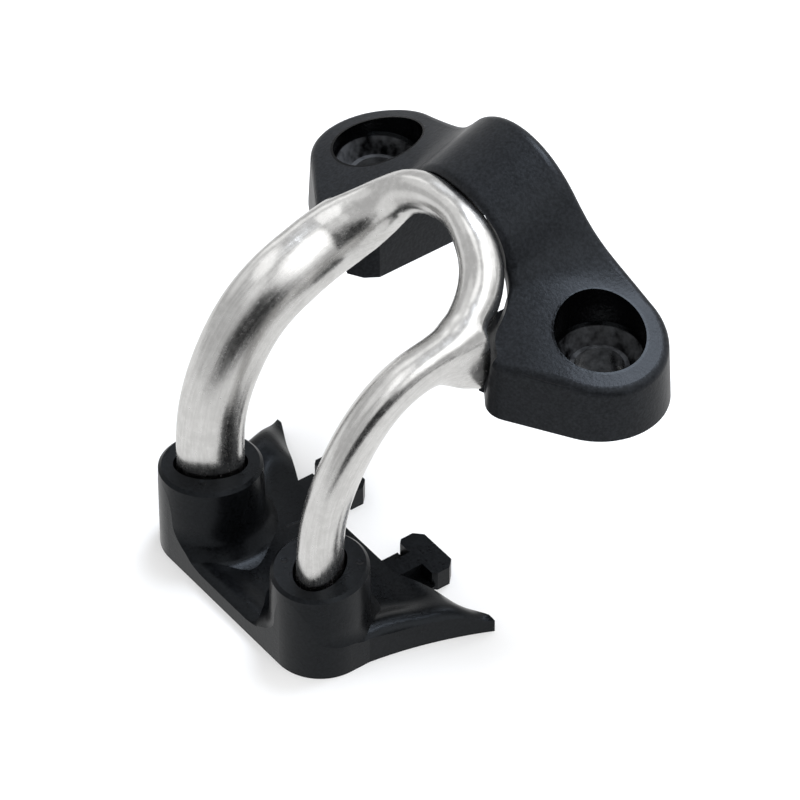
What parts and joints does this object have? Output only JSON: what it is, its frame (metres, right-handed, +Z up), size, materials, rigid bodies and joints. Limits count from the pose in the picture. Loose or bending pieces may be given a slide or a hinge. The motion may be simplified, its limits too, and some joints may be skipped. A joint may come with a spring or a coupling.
{
  "type": "rope fairlead eye",
  "caption": "Rope fairlead eye for a cam cleat: black moulded bridge, bent stainless steel eye and black moulded base on the deck.",
  "frame": {"origin": "on the seat plane under the bridge's feet, midway between the two screw holes", "axes": "+X across the two screw holes, +Z up, -Y from the bridge forward to the base on the deck"},
  "size_m": [0.0528, 0.0416, 0.0458],
  "materials": {
    "black_composite": "fine matt moulded grain",
    "stainless": "tumble-polished"
  },
  "bodies": {
    "root": {"bridge": "black_composite", "steel_eye": "stainless", "front_base": "black_composite"}
  },
  "joints": []
}
